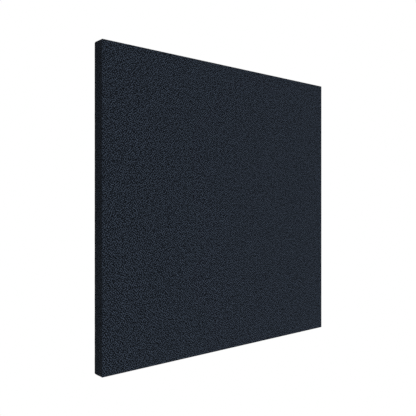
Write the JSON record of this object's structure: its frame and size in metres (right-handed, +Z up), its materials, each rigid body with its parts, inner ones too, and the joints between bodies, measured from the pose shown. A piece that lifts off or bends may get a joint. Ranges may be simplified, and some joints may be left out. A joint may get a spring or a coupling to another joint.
{
  "type": "wall punch pad",
  "caption": "Square wall-mounted striking pad: vinyl over soft and firm foam on a plywood board, hung on aluminium Z-rails with rubber bumpers behind.",
  "frame": {"origin": "middle of the wall rails' screw pattern, on the wall plane, which is also the middle of the pad's square outline", "axes": "+Z up, +X to the right for a person facing the pad, +Y into the wall; the pad's face looks along -Y"},
  "size_m": [0.6, 0.038, 0.6],
  "materials": {
    "vinyl": "matte",
    "soft_foam": "matte",
    "firm_foam": "matte",
    "plywood": "matte",
    "zinc_steel": "satin",
    "aluminium": "satin",
    "rubber": "matte"
  },
  "bodies": {
    "wall_rails": {"upper_wall_rail": "aluminium", "lower_wall_rail": "aluminium"},
    "pad": {"cover": "vinyl", "strike_foam": "soft_foam", "shock_foam": "firm_foam", "backing_board": "plywood", "top_staples": "zinc_steel", "right_staples": "zinc_steel", "bottom_staples": "zinc_steel", "left_staples": "zinc_steel", "upper_left_clip": "aluminium", "upper_right_clip": "aluminium", "lower_left_clip": "aluminium", "lower_right_clip": "aluminium", "clip_screws": "zinc_steel", "tee_nuts": "zinc_steel", "upper_left_bumper": "rubber", "upper_right_bumper": "rubber", "centre_bumper": "rubber", "lower_left_bumper": "rubber", "lower_right_bumper": "rubber", "bumper_washers": "zinc_steel", "bumper_screws": "zinc_steel"}
  },
  "joints": [
    {"name": "pad_lift", "type": "slide", "parent": "wall_rails", "child": "pad", "axis": [0, 0, 1], "range_m": [0, 0.014]}
  ]
}
